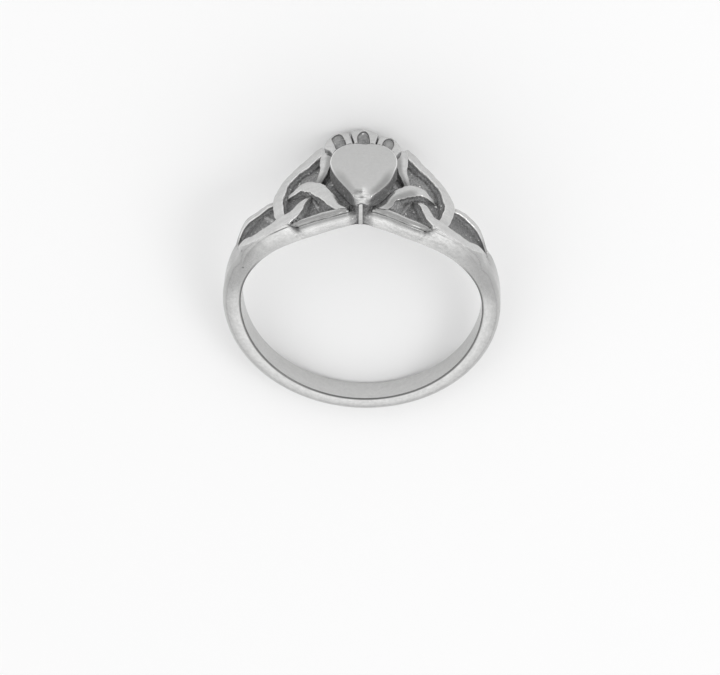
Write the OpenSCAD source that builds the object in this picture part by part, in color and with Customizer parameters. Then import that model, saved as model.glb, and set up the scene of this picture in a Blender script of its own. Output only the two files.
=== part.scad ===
// Claddagh ring: a crowned heart between two trinity knots, cast as one piece of silver.
// It lies on its side, as it would when put down: the crown and the far edge of the shank touch
// the surface z = 0, the hollow for the finger runs up through it, and the heart faces -Y.

/* [Finger and shank] */
// Inside diameter of the ring
finger_d = 17.3; // [15:0.1:21]
// Width of the shank under the finger
shank_w = 1.86; // [1.5:0.02:2.6]
// Thickness of the shank under the finger
shank_t = 1.15; // [0.9:0.05:1.6]
// Thickness of the shank beside the finger, where it meets the knots
shoulder_t = 1.32; // [1.1:0.02:1.7]
// Radius of the shank's two outer edges
shank_round = 0.5; // [0.2:0.05:0.7]

/* [Head plate] */
// Thickness of the plate that carries the knots, heart and crown
plate_t = 1; // [0.8:0.05:1.2]
// Radius of the plate's two outer edges
plate_round = 0.12; // [0.05:0.01:0.3]
// From the shank's middle to the plate's widest place on the heart's point side
plate_near = 3.3; // [2.9:0.1:3.8]
// From the shank's middle to the plate's widest place on the crown side
plate_far = 4.7; // [4.3:0.1:5.2]

/* [Trinity knots] */
// Angle round the finger from the heart's middle to each knot's tip on the shank
knot_reach = 62; // [56:1:66]
// Width of the flat strands
strand_w = 0.66; // [0.5:0.02:0.8]
// Rise of a strand above the plate where nothing crosses it
strand_h = 0.55; // [0.4:0.05:0.7]
// How far a strand climbs over another, and half of how far it dips under one
weave = 0.13; // [0.05:0.01:0.2]

/* [Heart] */
// Width of the heart
heart_w = 4.7; // [4:0.1:5.2]
// Length of the heart, from its top to its point
heart_l = 6; // [5.2:0.05:6.6]
// From the shank's middle to the heart's top
heart_top = 3.3; // [2.9:0.05:3.6]
// Rise of the heart's face above the plate
heart_h = 1.7; // [1.3:0.05:2.2]
// Thickness of the heart above its narrower foot
heart_t = 1.15; // [0.9:0.05:1.5]
// Roll of the face's edge
heart_roll = 0.3; // [0.1:0.02:0.5]

/* [Crown] */
// Width of the crown's middle lobe
middle_lobe_w = 1.52; // [1.3:0.02:1.7]
// Width of the two outer lobes
outer_lobe_w = 1.9; // [1.5:0.02:2.1]
// Width of the groove between two lobes
lobe_gap = 0.08; // [0.04:0.01:0.15]
// Angle that the outer lobes lean out by
lobe_fan = 10; // [4:1:14]
// From the shank's middle to the tips of the crown
crown_top = 5.8; // [5.5:0.05:6.4]
// Rise of the crown's face above the plate
crown_h = 1.15; // [0.8:0.05:1.3]
// Thickness of the crown lobes
crown_t = 1.4; // [1.3:0.05:1.6]
// Width of the sunk window in each lobe
window_w = 0.86; // [0.6:0.02:1]
// Depth of the window
window_deep = 0.4; // [0.2:0.05:0.6]
// Diameter of the bead in each window
bead_d = 0.74; // [0.5:0.02:0.8]

/* [Post] */
// Width of the upright bar below the heart's point
post_w = 0.38; // [0.25:0.01:0.5]
// Width of the two flutes beside the bar
flute_w = 0.56; // [0.4:0.02:0.7]
// Depth of the flutes
flute_deep = 0.16; // [0.08:0.02:0.25]

/* [Hidden] */
$fn = 48;

bore_r = finger_d / 2;
plate_r = bore_r + plate_t;
heart_r = plate_r + heart_h;
crown_r = plate_r + crown_h;
lobe_pitch = (middle_lobe_w + outer_lobe_w) / 2 + lobe_gap;
// The outer lobes' faces lie lower than the middle one's, on the head's curve
outer_lobe_r = sqrt(crown_r * crown_r - lobe_pitch * lobe_pitch);
// Solids start this far under the face they grow from
root = 0.35;
// Cuts run this far past the faces that they open
past = 1;
lobes = [-1, 0, 1];

// The band's sections round the finger. along is a share of knot_reach, near and far say how far
// the band's two edges have spread, from 0 at half the shank's width to 1 at plate_near and
// plate_far, and rise is the way from the plate's thickness to the shoulder's.
ALONG = 0;
NEAR = 1;
FAR = 2;
RISE = 3;
BAND = [
    // along, near, far, rise
    [0.00, 0.71, 0.94, 0],
    [0.13, 0.83, 0.96, 0],
    [0.24, 0.93, 0.98, 0],
    [0.34, 0.99, 0.90, 0],
    [0.45, 0.97, 0.66, 0],
    [0.55, 0.92, 0.34, 0],
    [0.63, 0.85, 0.13, 0],
    [0.74, 0.75, 0.07, 0],
    [0.87, 0.63, 0.06, 0],
    [0.96, 0.54, 0.05, 0.4],
    [1.05, 0.44, 0.04, 1],
    [1.20, 0.275, 0.027, 1],
    [1.33, 0.15, 0.016, 1],
    [1.48, 0.055, 0.005, 1],
    [1.68, 0, 0, 1],
    [180 / knot_reach, 0, 0, 1]
];

// The three strands of a knot: along is a share of knot_reach, across a share of the plate from
// its widest place on the heart's point side to its widest place on the crown side, level counts
// weave steps above or below the plain strand and width is a share of strand_w.
ACROSS = 1;
LEVEL = 2;
WIDTH = 3;
OUTER_STRAND = [
    // along, across, level, width
    [0.250, 0.940, 0.0, 0.90],
    [0.310, 0.900, 0.0, 1.20],
    [0.380, 0.835, 0.0, 1.30],
    [0.460, 0.755, 0.0, 1.30],
    [0.520, 0.645, 0.4, 1.35],
    [0.558, 0.520, 1.0, 1.40],
    [0.572, 0.385, 0.6, 1.40],
    [0.550, 0.205, -1.0, 1.10],
    [0.500, 0.090, -2.0, 0.90],
    [0.420, 0.020, -0.8, 0.95],
    [0.300, 0.005, 0.0, 1.00],
    [0.180, 0.030, 0.0, 1.00],
    [0.075, 0.070, 0.0, 0.90]
];
INNER_STRAND = [
    [0.080, 0.065, 0.0, 0.90],
    [0.140, 0.140, 0.0, 1.10],
    [0.200, 0.280, 0.5, 1.25],
    [0.265, 0.385, 1.0, 1.30],
    [0.335, 0.460, 1.0, 1.25],
    [0.410, 0.500, 0.6, 1.10],
    [0.490, 0.500, -1.0, 0.95],
    [0.570, 0.485, -2.2, 0.80],
    [0.660, 0.490, -0.6, 0.85],
    [0.760, 0.490, 0.0, 0.85],
    [0.880, 0.470, -0.2, 0.80],
    [1.000, 0.420, -2.2, 0.50]
];
CROSS_STRAND = [
    [0.250, 0.925, 0.0, 1.00],
    [0.250, 0.820, 0.0, 1.10],
    [0.262, 0.695, -0.4, 1.05],
    [0.290, 0.570, -1.6, 0.95],
    [0.335, 0.430, -1.8, 0.90],
    [0.385, 0.290, 0.2, 1.10],
    [0.450, 0.160, 1.0, 1.25],
    [0.540, 0.085, 1.0, 1.40],
    [0.650, 0.100, 0.4, 1.40],
    [0.780, 0.160, 0.0, 1.30],
    [0.900, 0.270, -0.2, 1.00],
    [1.000, 0.420, -2.2, 0.50]
];

// Half the heart's outline from its top to its point: across is a share of half heart_w, down a
// share of heart_l. Two curves of four points each, which share the fourth.
HEART_HALF = [
    // across, down
    [0.00, 0.015],
    [0.55, -0.045],
    [1.00, 0.110],
    [1.00, 0.385],
    [1.00, 0.600],
    [0.66, 0.800],
    [0.13, 1.000]
];

// A point at an angle round the finger, a radius, and a distance toward the crown
function at(angle, radius, across) =
    [-radius * sin(angle), -radius * cos(angle), -across];

// The smooth curve through a table's rows, at a row number with a fraction
function rows_at(rows, col, place) =
    let (
        last = len(rows) - 1,
        i = min(floor(place), last - 1),
        f = place - i,
        b = rows[i][col],
        c = rows[i + 1][col],
        a = i > 0 ? rows[i - 1][col] : 2 * b - c,
        d = i < last - 1 ? rows[i + 2][col] : 2 * c - b
    )
    b + f * (c - a) / 2
    + f * f * (2 * a - 5 * b + 4 * c - d) / 2
    + f * f * f * (3 * b - a - 3 * c + d) / 2;

function bezier(p, t) =
    pow(1 - t, 3) * p[0] + 3 * t * pow(1 - t, 2) * p[1]
    + 3 * t * t * (1 - t) * p[2] + pow(t, 3) * p[3];

// Triangles that join rings of points one after another, with the ends capped or joined
function skin_faces(rings, sides, joined) = concat(
    [
        for (i = [0 : rings - (joined ? 1 : 2)], k = [0 : sides - 1], half = [0, 1])
            let (
                n = rings * sides,
                a = i * sides + k,
                b = i * sides + (k + 1) % sides,
                c = (a + sides) % n,
                d = (b + sides) % n
            )
            half == 0 ? [a, b, d] : [a, d, c]
    ],
    joined ? [] : [for (k = [1 : sides - 2]) [0, k + 1, k]],
    joined ? [] : [for (k = [1 : sides - 2]) let (e = (rings - 1) * sides) [e, e + k, e + k + 1]]
);

module skin(rings, joined = false) {
    polyhedron(
        points = [for (ring = rings, p = ring) p],
        faces = skin_faces(len(rings), len(rings[0]), joined)
    );
}

// One of the band's columns at a share along, on a smooth curve through the rows
function slope(i, col) =
    i == 0 || i == len(BAND) - 1
    ? 0
    : (BAND[i + 1][col] - BAND[i - 1][col]) / (BAND[i + 1][ALONG] - BAND[i - 1][ALONG]);

function band_at(along, col) =
    let (
        i = max([for (k = [0 : len(BAND) - 2]) if (BAND[k][ALONG] <= along) k]),
        span = BAND[i + 1][ALONG] - BAND[i][ALONG],
        t = (along - BAND[i][ALONG]) / span
    )
    BAND[i][col] * (1 + 2 * t) * pow(1 - t, 2)
    + BAND[i + 1][col] * (3 - 2 * t) * t * t
    + span * slope(i, col) * t * pow(1 - t, 2)
    - span * slope(i + 1, col) * (1 - t) * t * t;

// The band's section at an angle from the heart: a flat inside, upright sides and an outside
// whose two edges are rounded
head_step = 3;
shank_step = 6;
head_end = 72;
corner_steps = 5;
under_bore = 0.3;

function band_section(angle, side) =
    let (
        near = shank_w / 2 + (plate_near - shank_w / 2) * band_at(angle / knot_reach, NEAR),
        far = shank_w / 2 + (plate_far - shank_w / 2) * band_at(angle / knot_reach, FAR),
        rise = min(max(band_at(angle / knot_reach, RISE), 0), 1),
        low = angle > 90 ? (1 - cos(2 * (angle - 90))) / 2 : 0,
        top = bore_r + plate_t + (shoulder_t - plate_t) * rise + (shank_t - shoulder_t) * low,
        fillet = plate_round + (shank_round - plate_round) * rise,
        turn = 90 / corner_steps,
        place = side * angle
    )
    concat(
        [at(place, bore_r - under_bore, -near)],
        [
            for (k = [0 : corner_steps])
                at(place, top - fillet * (1 - sin(k * turn)), -near + fillet * (1 - cos(k * turn)))
        ],
        [
            for (k = [corner_steps : -1 : 0])
                at(place, top - fillet * (1 - sin(k * turn)), far - fillet * (1 - cos(k * turn)))
        ],
        [at(place, bore_r - under_bore, far)]
    );

module band() {
    angles = [
        for (a = [0 : head_step : head_end]) a,
        for (a = [head_end + shank_step : shank_step : 180 - shank_step]) a
    ];
    skin(
        concat(
            [for (a = angles) band_section(a, 1)],
            [band_section(180, 1)],
            [for (i = [len(angles) - 1 : -1 : 1]) band_section(angles[i], -1)]
        ),
        joined = true
    );
}

// One flat strand, swept along its rows
strand_step = 0.5;
strand_edge = 0.14;

function strand_place(rows, place) =
    at(
        knot_reach * rows_at(rows, ALONG, place),
        plate_r,
        (plate_near + plate_far) * rows_at(rows, ACROSS, place) - plate_near
    );

function strand_ring(rows, place) =
    let (
        here = strand_place(rows, place),
        ahead = strand_place(rows, min(place + 0.1, len(rows) - 1)),
        behind = strand_place(rows, max(place - 0.1, 0)),
        out = [here.x, here.y, 0] / norm([here.x, here.y]),
        aside = cross(out, ahead - behind),
        side = aside / norm(aside) * strand_w * rows_at(rows, WIDTH, place) / 2,
        top = strand_h + weave * rows_at(rows, LEVEL, place),
        inset = side * (1 - strand_edge / norm(side))
    )
    [
        here - side - out * root,
        here - side + out * (top - strand_edge),
        here - inset + out * top,
        here + inset + out * top,
        here + side + out * (top - strand_edge),
        here + side - out * root
    ];

module strand(rows) {
    skin([for (place = [0 : strand_step : len(rows) - 1]) strand_ring(rows, place)]);
}

module knot() {
    strand(OUTER_STRAND);
    strand(INNER_STRAND);
    strand(CROSS_STRAND);
}

// The heart: upright sides and a flat face whose edge rolls over
heart_steps = 10;
foot_inset = 0.12;
// Share of heart_l from the heart's top to the place that its outline draws in toward
heart_centre = 0.42;
roll_steps = 3;

function heart_half(t) =
    t <= 1
    ? bezier([for (i = [0 : 3]) HEART_HALF[i]], t)
    : bezier([for (i = [3 : 6]) HEART_HALF[i]], t - 1);

heart_outline = [
    for (side = [1, -1], k = [0 : 2 * heart_steps - (side > 0 ? 0 : 1)])
        let (
            t = (side > 0 ? k : 2 * heart_steps - k) / heart_steps,
            p = heart_half(t)
        )
        if (side > 0 || k < 2 * heart_steps)
            [side * p.x * heart_w / 2, heart_top - p.y * heart_l]
];

function heart_level(inset, radius) =
    let (
        middle = heart_top - heart_l * heart_centre,
        share = 1 - 2 * inset / heart_w
    )
    [for (p = heart_outline) [-p.x * share, -radius, -(middle + (p.y - middle) * share)]];

module heart() {
    face_foot = heart_r - heart_t;
    roll_turn = 90 / roll_steps;
    skin(concat(
        [
            heart_level(foot_inset, plate_r - root),
            heart_level(foot_inset, face_foot - foot_inset),
            heart_level(0, face_foot)
        ],
        [
            for (k = [0 : roll_steps])
                heart_level(
                    heart_roll * (1 - cos(k * roll_turn)),
                    heart_r - heart_roll * (1 - sin(k * roll_turn))
                )
        ]
    ));
}

// Stands what is drawn in the plane of the heart's face on that face, x across the finger and y
// toward the crown
module on_face(radius) {
    translate([0, -radius, 0])
        rotate([-90, 0, 0])
            mirror([1, 0, 0])
                children();
}

// One crown lobe: a round-ended tab with a sunk window and a bead in it
module lobe(turn) {
    wide = turn == 0 ? middle_lobe_w : outer_lobe_w;
    length = crown_top - heart_top + root;
    on_face(turn == 0 ? crown_r : outer_lobe_r)
        translate([turn * lobe_pitch, crown_top - wide / 2, 0])
            rotate([0, 0, -turn * lobe_fan]) {
                difference() {
                    lobe_tab(wide, length, crown_t);
                    translate([0, 0, -past])
                        lobe_tab(window_w, length, past + window_deep);
                }
                translate([0, 0, window_deep])
                    sphere(d = bead_d);
            }
}

// A tab whose round end is centred on the origin, and whose sides draw in toward its foot
module lobe_tab(wide, length, deep) {
    foot = wide / 2 - length * tan(lobe_fan / 2);
    linear_extrude(deep)
        union() {
            circle(d = wide);
            polygon([[-wide / 2, 0], [-foot, -length], [foot, -length], [wide / 2, 0]]);
        }
}

module crown() {
    for (turn = lobes)
        lobe(turn);
}

// The upright bar below the heart's point, and the two flutes that set it off
point_edge = shank_w / 2 + (plate_near - shank_w / 2) * BAND[0][NEAR];

module post() {
    translate([-post_w / 2, -heart_r + heart_t - root, point_edge - post_w])
        cube([post_w, heart_h - heart_t + plate_t + 2 * root, post_w]);
}

module flutes() {
    // A flute is the edge of a cylinder as wide as flute_w where it meets the plate's edge
    flute_r = (flute_w * flute_w / 4 + flute_deep * flute_deep) / (2 * flute_deep);
    for (side = [-1, 1])
        translate([
            side * (post_w + flute_w) / 2,
            -bore_r + past,
            point_edge - flute_deep + flute_r
        ])
            rotate([90, 0, 0])
                cylinder(r = flute_r, h = plate_t + 2 * past);
}

module finger_bore() {
    translate([0, 0, -crown_top - past])
        cylinder(d = finger_d, h = crown_top + plate_near + 2 * past, $fn = 96);
}

// Lies on its side: the far edge of the shank and the tips of the crown's outer lobes touch the
// surface, which tilts the ring and lifts the heart
rest_reach = crown_top - shank_w / 2 + shank_round;
rest_span = outer_lobe_r - crown_t + bore_r + shank_t - shank_round;
rest_tilt = acos(shank_round / norm([rest_reach, rest_span])) - atan2(rest_span, rest_reach);
rest_lift = crown_top * cos(rest_tilt) - (outer_lobe_r - crown_t) * sin(rest_tilt);
// The box that holds the ring reaches from the heart's face to the shank's back
heart_front = heart_r * cos(rest_tilt) + (heart_top - heart_roll) * sin(rest_tilt);
shank_back = (bore_r + shank_t - shank_round) * cos(rest_tilt)
    + (shank_w / 2 - shank_round) * sin(rest_tilt) + shank_round;

module ring() {
    color("silver")
        translate([0, (heart_front - shank_back) / 2, rest_lift])
            rotate([-rest_tilt, 0, 0])
                difference() {
                    union() {
                        difference() {
                            band();
                            flutes();
                        }
                        knot();
                        mirror([1, 0, 0])
                            knot();
                        heart();
                        crown();
                        post();
                    }
                    finger_bore();
                }
}

ring();
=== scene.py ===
from math import acos, atan, atan2, copysign, cos, degrees, exp, hypot, pi, radians, sin, sqrt, tan

import bpy
import numpy as np
from mathutils import Matrix, Vector


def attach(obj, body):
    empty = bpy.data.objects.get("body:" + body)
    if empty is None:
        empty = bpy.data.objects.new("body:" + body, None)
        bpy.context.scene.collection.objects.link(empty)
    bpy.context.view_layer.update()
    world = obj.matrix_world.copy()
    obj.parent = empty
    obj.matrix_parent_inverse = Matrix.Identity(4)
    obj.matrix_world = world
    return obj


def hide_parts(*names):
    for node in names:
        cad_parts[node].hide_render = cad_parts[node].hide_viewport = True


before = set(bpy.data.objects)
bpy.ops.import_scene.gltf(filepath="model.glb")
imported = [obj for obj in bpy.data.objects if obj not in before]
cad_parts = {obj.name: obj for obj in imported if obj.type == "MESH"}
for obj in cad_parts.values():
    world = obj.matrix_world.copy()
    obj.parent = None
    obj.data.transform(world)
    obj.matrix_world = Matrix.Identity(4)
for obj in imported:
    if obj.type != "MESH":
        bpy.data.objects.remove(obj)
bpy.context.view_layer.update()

# Sizes of the ring in millimetres, as in the solid model
finger_d = 17.3
shank_w = 1.86
shank_t = 1.15
shoulder_t = 1.32
shank_round = 0.5
plate_t = 1.0
plate_round = 0.12
plate_near = 3.3
plate_far = 4.7
knot_reach = 62.0
strand_w = 0.66
strand_h = 0.55
weave = 0.13
heart_w = 4.7
heart_l = 6.0
heart_top = 3.3
heart_h = 1.7
heart_t = 1.15
heart_roll = 0.3
middle_lobe_w = 1.52
outer_lobe_w = 1.9
lobe_gap = 0.08
crown_top = 5.8
crown_h = 1.15
crown_t = 1.4
post_w = 0.34
flute_w = 0.56
flute_deep = 0.16

# How deep the raised forms are rooted in the plate, and the small roundings of the band's rims
root = 0.35
bore_edge = 0.07
rim_round = 0.06

bore_r = finger_d / 2
plate_r = bore_r + plate_t
plate_w = plate_near + plate_far
heart_r = plate_r + heart_h
crown_r = plate_r + crown_h
lobe_pitch = (middle_lobe_w + outer_lobe_w) / 2 + lobe_gap
outer_lobe_r = sqrt(crown_r ** 2 - lobe_pitch ** 2)
flute_end = degrees((post_w / 2 + flute_w) / plate_r)

# The band's sections: share of knot_reach, how far the two edges have spread, and the way from
# the plate's thickness to the shoulder's
BAND = np.array([
    [0.00, 0.71, 0.94, 0],
    [0.13, 0.83, 0.96, 0],
    [0.24, 0.93, 0.98, 0],
    [0.34, 0.99, 0.90, 0],
    [0.45, 0.97, 0.66, 0],
    [0.55, 0.92, 0.32, 0],
    [0.63, 0.85, 0.10, 0],
    [0.74, 0.75, 0.035, 0],
    [0.87, 0.63, 0.025, 0],
    [0.96, 0.54, 0.020, 0.4],
    [1.05, 0.44, 0.015, 1],
    [1.20, 0.275, 0.010, 1],
    [1.33, 0.15, 0.005, 1],
    [1.48, 0.055, 0, 1],
    [1.68, 0, 0, 1],
    [180 / knot_reach, 0, 0, 1],
])

# The strands: share of knot_reach, share of the plate's width, weave level and share of strand_w
ALONG, ACROSS, LEVEL, WIDTH = range(4)
OUTER_STRAND = np.array([
    [0.246, 0.945, 3.0, 1.20],
    [0.312, 0.896, 1.5, 1.35],
    [0.382, 0.830, 0.5, 1.40],
    [0.460, 0.768, 0.0, 1.25],
    [0.527, 0.662, 0.4, 1.22],
    [0.558, 0.520, 1.0, 1.45],
    [0.570, 0.385, 0.6, 1.32],
    [0.550, 0.205, -1.0, 1.10],
    [0.500, 0.090, -2.0, 0.90],
    [0.420, 0.020, -0.8, 0.95],
    [0.300, 0.005, 0.0, 1.00],
    [0.180, 0.030, 0.0, 1.00],
    [0.070, 0.068, 0.0, 0.90],
])
INNER_STRAND = np.array([
    [0.080, 0.062, 0.0, 0.90],
    [0.147, 0.128, 0.0, 1.15],
    [0.215, 0.270, 0.5, 1.55],
    [0.278, 0.388, 1.0, 1.70],
    [0.340, 0.464, 1.0, 1.60],
    [0.405, 0.498, 0.6, 1.15],
    [0.480, 0.487, -1.0, 0.60],
    [0.570, 0.485, -2.2, 0.65],
    [0.660, 0.502, -0.6, 0.70],
    [0.760, 0.505, -0.7, 0.74],
    [0.880, 0.494, 0.5, 0.68],
    [1.070, 0.455, -2.6, 0.30],
])
CROSS_STRAND = np.array([
    [0.236, 0.935, 3.3, 1.35],
    [0.239, 0.810, 2.4, 1.35],
    [0.251, 0.690, 0.4, 1.20],
    [0.288, 0.570, -1.6, 0.90],
    [0.335, 0.430, -2.8, 0.80],
    [0.384, 0.280, 0.2, 0.90],
    [0.432, 0.140, 1.0, 1.55],
    [0.525, 0.100, 1.0, 1.80],
    [0.650, 0.104, 0.4, 1.40],
    [0.780, 0.150, 0.0, 1.20],
    [0.900, 0.255, -0.2, 0.95],
    [1.070, 0.435, -3.6, 0.35],
])
# The knot on the heart's other side was cut a little differently.
OTHER_OUTER, OTHER_INNER, OTHER_CROSS = (
    rows.copy() for rows in (OUTER_STRAND, INNER_STRAND, CROSS_STRAND))
OTHER_OUTER[2:8, ALONG] += (-0.006, -0.010, 0.0, 0.020, 0.024, 0.012)
OTHER_OUTER[1:5, WIDTH] *= (0.92, 0.84, 0.9, 0.92)
OTHER_OUTER[11:13, ACROSS] += (0.022, 0.015)
OTHER_INNER[:7] = [
    [0.100, 0.078, 0.0, 1.20],
    [0.165, 0.172, 0.0, 1.20],
    [0.198, 0.272, 0.5, 1.15],
    [0.257, 0.352, 1.0, 1.60],
    [0.322, 0.432, 1.0, 1.65],
    [0.395, 0.470, 0.6, 1.30],
    [0.470, 0.470, -1.5, 0.60],
]
OTHER_INNER[7, LEVEL] = -4.6
OTHER_INNER[9:12, LEVEL] = (0.0, -0.2, -3.6)
OTHER_CROSS[4:6, LEVEL] = (-4.6, 0.8)
OTHER_CROSS[5:8, ALONG] += (0.012, 0.022, 0.014)
OTHER_CROSS[6:8, WIDTH] *= (0.8, 0.9)
# A faint rib left on the ground inside each knot, and a shorter one in one shoulder's pocket
RIB = np.array([
    [0.345, 0.400, 0.0, 0.30],
    [0.320, 0.310, 0.0, 0.34],
    [0.297, 0.225, 0.0, 0.34],
    [0.265, 0.125, 0.0, 0.26],
])
SHOULDER_RIB = np.array([
    [0.735, 0.465, 0.0, 0.36],
    [0.698, 0.400, 0.0, 0.42],
    [0.664, 0.340, 0.0, 0.42],
    [0.630, 0.275, 0.0, 0.36],
])

# Half the heart's outline: share of half heart_w, share of heart_l. Two curves of four points.
HEART_HALF = np.array([
    [0.00, 0.015],
    [0.55, -0.045],
    [1.00, 0.110],
    [1.00, 0.385],
    [0.98, 0.560],
    [0.64, 0.740],
    [0.23, 1.000],
])
# Half the heart's width at each distance toward the crown, where it meets the ground
HEART_SIDE = np.array([
    [-2.9, 0], [-2.7, 0.5], [-2.2, 0.85], [-1.2, 1.6], [-0.2, 2.1], [1.0, 2.33], [2.0, 2.3],
    [2.8, 1.8], [3.3, 0],
])

# The crown's three lobes as they look from above: across the finger and toward the crown's tip
LOBES = {
    "left": {
        "outline": [
            (-2.05, 2.9), (-2.4, 3.35), (-2.75, 3.6), (-2.82, 3.9), (-2.76, 4.3), (-2.6, 4.75),
            (-2.38, 5.18), (-2.1, 5.47), (-1.75, 5.63), (-1.42, 5.68), (-1.2, 5.62),
            (-1.12, 5.42), (-0.95, 4.85), (-0.82, 4.3), (-0.72, 3.7), (-0.62, 2.9),
        ],
        "window": [
            (-1.62, 3.3), (-1.98, 3.5), (-2.12, 3.95), (-2.3, 4.45), (-2.36, 4.78),
            (-2.22, 5.08), (-1.95, 5.33), (-1.72, 5.27), (-1.55, 4.95), (-1.38, 4.45),
            (-1.3, 3.9), (-1.35, 3.5),
        ],
    },
    "middle": {
        "outline": [
            (-0.56, 2.9), (-0.66, 3.7), (-0.75, 4.3), (-0.88, 4.85), (-1.02, 5.4),
            (-0.98, 5.65), (-0.7, 5.79), (-0.3, 5.83), (0.1, 5.79), (0.45, 5.67), (0.8, 5.45),
            (0.92, 5.25), (0.84, 4.8), (0.77, 4.3), (0.7, 3.7), (0.6, 2.9),
        ],
        "window": [
            (-0.1, 3.3), (-0.42, 3.5), (-0.47, 3.95), (-0.53, 4.5), (-0.54, 4.95),
            (-0.4, 5.35), (-0.08, 5.58), (0.14, 5.4), (0.27, 5.0), (0.34, 4.5), (0.36, 3.95),
            (0.28, 3.5),
        ],
    },
    "right": {
        "outline": [
            (0.66, 2.9), (0.76, 3.7), (0.82, 4.2), (0.9, 4.75), (0.98, 5.15), (1.15, 5.27),
            (1.45, 5.24), (1.75, 5.12), (2.05, 4.9), (2.3, 4.58), (2.47, 4.2), (2.57, 3.85),
            (2.6, 3.55), (2.4, 3.25), (2.1, 2.9),
        ],
        "window": [
            (1.5, 3.3), (1.3, 3.5), (1.24, 3.95), (1.27, 4.4), (1.42, 4.8), (1.65, 4.97),
            (1.88, 4.88), (2.03, 4.6), (2.07, 4.2), (1.98, 3.8), (1.8, 3.45),
        ],
    },
}

# A painted highlight on the middle bead
BEAD_HIGHLIGHT = (-0.17, 5.29)
# Marks on one side: angle, radius and distance across, reach in millimetres, strength and shade.
# Two pits in the shoulder, and where the cross strand ends a smear with nicks and grains in it
MARKS = [
    (-55.65, 10.13, -2.13, 0.10, 0.8, 0.10),
    (-63.37, 9.30, -2.05, 0.10, 0.8, 0.10),
    (-25.8, 9.98, -2.70, 0.60, 0.9, 0.62),
    (-27.2, 10.14, -2.80, 0.12, 0.95, 0.04),
    (-27.9, 10.06, -2.91, 0.14, 0.95, 0.04),
    (-26.4, 10.04, -2.79, 0.09, 0.95, 0.04),
    (-25.7, 10.10, -3.08, 0.12, 0.95, 0.04),
    (-25.6, 10.08, -2.66, 0.09, 0.95, 0.04),
    (-25.0, 9.93, -2.62, 0.09, 0.95, 0.04),
    (-26.9, 10.12, -2.88, 0.09, 0.95, 1.00),
    (-27.4, 10.08, -2.98, 0.09, 0.95, 1.00),
]

# The ring lies on its side: the crown's two outer tips and the far edge of the shank carry it.
rest_reach = crown_top - shank_w / 2 + shank_round
rest_span = outer_lobe_r - crown_t + bore_r + shank_t - shank_round
rest_tilt = acos(shank_round / hypot(rest_reach, rest_span)) - atan2(rest_span, rest_reach)
rest_lift = crown_top * cos(rest_tilt) - (outer_lobe_r - crown_t) * sin(rest_tilt)
heart_front = heart_r * cos(rest_tilt) + (heart_top - heart_roll) * sin(rest_tilt)
shank_back = ((bore_r + shank_t - shank_round) * cos(rest_tilt)
              + (shank_w / 2 - shank_round) * sin(rest_tilt) + shank_round)
rest_shift = (heart_front - shank_back) / 2

# The angle at which the camera stands over the ring
camera_lift = radians(38.5)

# Colours: the oxide from dark to light, bare grains in it, the polished silver and the floor
OXIDE = (0.13, 0.13, 0.131), (0.36, 0.36, 0.36)
BARE = (0.72, 0.72, 0.71)
POLISHED = (0.625, 0.625, 0.62), (0.667, 0.667, 0.662)
FLOOR = (0.93, 0.93, 0.93)
# The studio's light by height, and a grey card: the way to it, the cosines of the angles from
# it at which it begins and is full, and the share of the light it leaves
SKY = (0.0, 0.66), (0.2, 0.92), (0.6, 1.1), (1.0, 1.0)
CARD_WAY, CARD_RIM, CARD_FULL, CARD_LIGHT = (0.0, -0.404, 0.915), 0.93, 0.985, 0.35


# Places and curves

def at(angle, radius, across):
    """A point at an angle round the finger, a radius and a distance toward the crown."""
    a = np.radians(angle)
    return np.stack(np.broadcast_arrays(-radius * np.sin(a), -radius * np.cos(a), -across), -1)


def flat(points, radius):
    """Points x across the finger and y toward the crown, at a height over the finger's middle."""
    points = np.asarray(points, float)
    return np.stack([-points[:, 0], np.broadcast_to(-radius, len(points)), -points[:, 1]], -1)


def to_row(points):
    """From the ring's own axes in millimetres to where it lies, in metres."""
    x, y, z = np.asarray(points, float).T
    c, s = cos(rest_tilt), sin(rest_tilt)
    return np.stack([x, y * c + z * s + rest_shift, -y * s + z * c + rest_lift], -1) / 1000


def plate_across(share):
    """The distance across at a share of the plate's width."""
    return plate_w * share - plate_near


def spread(share, plate_edge):
    """Where an edge of the band lies that has spread by a share from the shank's to the plate's."""
    return shank_w / 2 + (plate_edge - shank_w / 2) * share


def through(a, b, c, d, f):
    """A point of the smooth curve from b to c, whose neighbours are a and d."""
    return (b + f * (c - a) / 2 + f * f * (2 * a - 5 * b + 4 * c - d) / 2
            + f ** 3 * (3 * b - a - 3 * c + d) / 2)


def rows_at(rows, place):
    """The smooth curve through a table's rows, at a row number with a fraction."""
    last = len(rows) - 1
    i = int(min(place, last - 1))
    b, c = rows[i], rows[i + 1]
    a = rows[i - 1] if i > 0 else 2 * b - c
    d = rows[i + 2] if i < last - 1 else 2 * c - b
    return through(a, b, c, d, place - i)


def band_at(along):
    """The band's columns at a share along."""
    i = min(int(np.searchsorted(BAND[:, 0], along, "right")) - 1, len(BAND) - 2)

    def slope(k):
        if k == 0 or k == len(BAND) - 1:
            return np.zeros(4)
        return (BAND[k + 1] - BAND[k - 1]) / (BAND[k + 1][0] - BAND[k - 1][0])

    span = BAND[i + 1][0] - BAND[i][0]
    t = (along - BAND[i][0]) / span
    return (BAND[i] * (1 + 2 * t) * (1 - t) ** 2 + BAND[i + 1] * (3 - 2 * t) * t * t
            + span * slope(i) * t * (1 - t) ** 2 - span * slope(i + 1) * (1 - t) * t * t)


def evenly(loop, count):
    """A closed line's points, evenly spaced, and the space between them."""
    closed = np.vstack([loop, loop[:1]])
    run = np.r_[0, np.cumsum(np.linalg.norm(np.diff(closed, axis=0), axis=1))]
    s = np.linspace(0, run[-1], count, endpoint=False)
    return np.stack([np.interp(s, run, closed[:, k]) for k in (0, 1)], -1), run[-1] / count


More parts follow.
